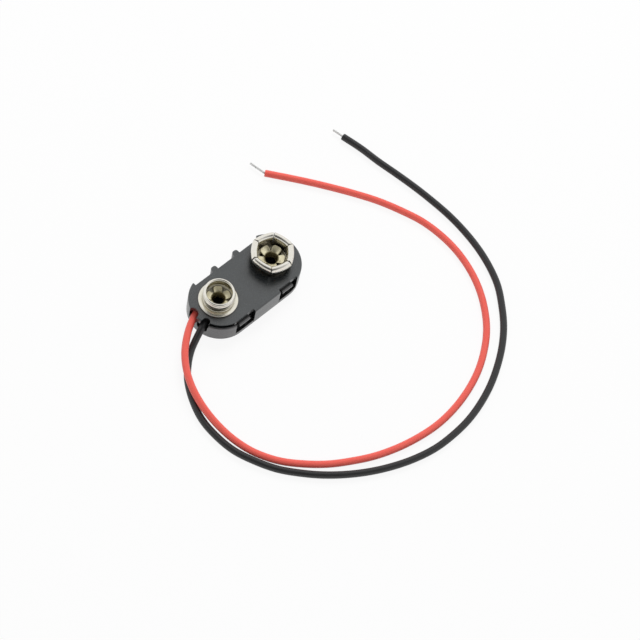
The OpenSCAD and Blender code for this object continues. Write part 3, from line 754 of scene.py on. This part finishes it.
def petal_rows(end_r, end_half):
    """Middle sheet of a petal that reaches out to end_r and is end_half wide to each side there."""
    tube_r = HOLE_R + RIVET_T / 2
    bend = PETAL_BEND + RIVET_T / 2
    path = [(tube_r, -0.1), (tube_r, 0.1)]
    path += arc(tube_r + bend, SHEET, bend, 180, 90 + PETAL_LEAN, 8)
    start = path[-1]
    straight = (end_r - start[0]) / math.cos(math.radians(PETAL_LEAN))
    for i in range(1, PETAL_STEPS + 1):
        path.append((start[0] + straight * i / PETAL_STEPS * math.cos(math.radians(PETAL_LEAN)),
                     start[1] + straight * i / PETAL_STEPS * math.sin(math.radians(PETAL_LEAN))))
    rows = []
    for r, z in path:
        out = max(0, (r - tube_r) / (end_r - tube_r))
        half = PETAL_HALF + (end_half - PETAL_HALF) * out
        if out > PETAL_ROUND_FROM:
            half *= math.sqrt(1 - PETAL_ROUNDING * ((out - PETAL_ROUND_FROM) / PETAL_ROUND_SPAN) ** 2)
        row = []
        for j in range(PETAL_ACROSS):
            side = half * (2 * j / (PETAL_ACROSS - 1) - 1)
            curl = (tube_r - math.sqrt(tube_r ** 2 - side ** 2)) * (1 - PETAL_FLATTENING * out)
            row.append((r - curl, side, z + PETAL_RISE * curl * out))
        rows.append(row)
    return rows


def rivet(name, node, base, material, petal, first_turn, lean, twist, seed):
    """Rivet with its petals; the angles are in degrees."""
    petals = made_by(ring_tree, sheet_of(petal), {
        "Count": PETALS, "First Turn": math.radians(first_turn), "Lean Spread": math.radians(lean),
        "Twist Spread": math.radians(twist), "Seed": seed, "Material": material}, sheet=RIVET_T * MM)
    mesh = joined(name, [turned(shank_section()), petals], material, Matrix.Translation(base))
    return seated(name, mesh, "rivets", node)


stud_mesh = joined("stud_shell", [turned(stud_section())], stud_nickel, Matrix.Translation(stud_base))
seated("stud_shell", stud_mesh, "terminals", "stud_terminal")
leaves = made_by(ring_tree, sheet_of(leaf_rows()), {
    "Count": LEAVES, "First Turn": FIRST_SLIT + math.pi / LEAVES, "Lean Spread": LEAF_UNEVEN_LEAN,
    "Twist Spread": LEAF_UNEVEN_TWIST, "Seed": 5, "Material": socket_nickel}, sheet=LEAF_T * MM)
crown_mesh = joined("socket_crown", [turned(cup_section()), leaves], socket_nickel,
                    Matrix.Translation(socket_base))
seated("socket_crown", crown_mesh, "terminals", "socket_terminal")
rivet("stud_eyelet", "stud_rivet", stud_base, stud_rivet_nickel, petal_rows(STUD_PETAL_OUT, STUD_PETAL_END),
      first_turn=53, lean=2, twist=3, seed=4)
rivet("socket_eyelet", "socket_rivet", socket_base, socket_rivet_nickel,
      petal_rows(SOCKET_PETAL_OUT, SOCKET_PETAL_END), first_turn=17, lean=5, twist=7, seed=8)

# CAD nodes that keep their own shape
for node, finish in (("terminal_plate", shell_plastic), ("back_cover", cover_plastic),
                     ("red_solder_joint", solder), ("black_solder_joint", solder)):
    cad_nodes[node].data.materials.clear()
    cad_nodes[node].data.materials.append(finish)


# Floor, light and background
KEY_AT = Vector((0.38, 0.24, 0.52))
KEY_SIZE = 0.3
KEY_WATTS = 2.6
SKY_LEVEL = 0.55
DARK_SIDE = 0.06
DARK_RANGE = (0.68, 0.88)
FLOOR_SIZE = 4
FLOOR_PALE = (0.9, 0.9, 0.9, 1)
FLOOR_GLOW = 0.9
FLOOR_GAP = 0.02 * MM
WHITE = (1, 1, 1, 1)


def seen_directly(tree):
    path = place(tree, "ShaderNodeLightPath").outputs
    seen = maths(tree, "MAXIMUM", path["Is Camera Ray"], path["Is Glossy Ray"])
    return maths(tree, "MAXIMUM", seen, path["Is Transmission Ray"])


def make_floor():
    """Pale floor that is white where it is seen and keeps the object's shadow."""
    material = bpy.data.materials.new("floor_white")
    material.use_nodes = True
    tree = material.node_tree
    tree.nodes.remove(tree.nodes["Principled BSDF"])
    matt = place(tree, "ShaderNodeBsdfDiffuse", {"Color": FLOOR_PALE})
    glow = place(tree, "ShaderNodeEmission", {"Color": WHITE, "Strength": 1.0})
    share = maths(tree, "MULTIPLY", seen_directly(tree), FLOOR_GLOW)
    both = place(tree, "ShaderNodeMixShader", {
        "Fac": share, "Shader": result(matt), "Shader_001": result(glow)})
    tree.links.new(result(both), tree.nodes["Material Output"].inputs["Surface"])
    bpy.ops.mesh.primitive_plane_add(size=FLOOR_SIZE, location=(0, 0, -FLOOR_GAP))
    floor = bpy.context.object
    floor.name = "floor"
    floor.data.materials.append(material)


def make_world():
    """White where it is seen, darker in reflections on the viewer's side, and an even sky for the light."""
    world = bpy.data.worlds.new("studio")
    bpy.context.scene.world = world
    world.use_nodes = True
    tree = world.node_tree
    path = place(tree, "ShaderNodeLightPath").outputs
    direction = place(tree, "ShaderNodeTexCoord").outputs["Generated"]
    facing = place(tree, "ShaderNodeVectorMath", {"Vector": direction, "Vector_001": TO_VIEWER},
                   operation="DOT_PRODUCT").outputs["Value"]
    mirrored = spread(tree, facing, *DARK_RANGE, 1.0, DARK_SIDE)
    bent = maths(tree, "MAXIMUM", path["Is Glossy Ray"], path["Is Transmission Ray"])
    lit = maths(tree, "ADD", maths(tree, "MULTIPLY", bent, mirrored),
                maths(tree, "MULTIPLY", maths(tree, "SUBTRACT", 1.0, bent), SKY_LEVEL))
    strength = maths(tree, "MAXIMUM", lit, path["Is Camera Ray"])
    background = tree.nodes["Background"]
    background.inputs["Color"].default_value = WHITE
    tree.links.new(strength, background.inputs["Strength"])


def make_key():
    """Soft lamp behind the object, which metal doesn't mirror."""
    light = bpy.data.lights.new("key", "AREA")
    light.size = KEY_SIZE
    light.energy = KEY_WATTS
    lamp = bpy.data.objects.new("key", light)
    lamp.location = KEY_AT
    lamp.rotation_euler = (-KEY_AT).to_track_quat("-Z", "Y").to_euler()
    lamp.visible_glossy = False
    bpy.context.scene.collection.objects.link(lamp)


make_floor()
make_world()
make_key()
bpy.context.scene.view_settings.view_transform = "Standard"
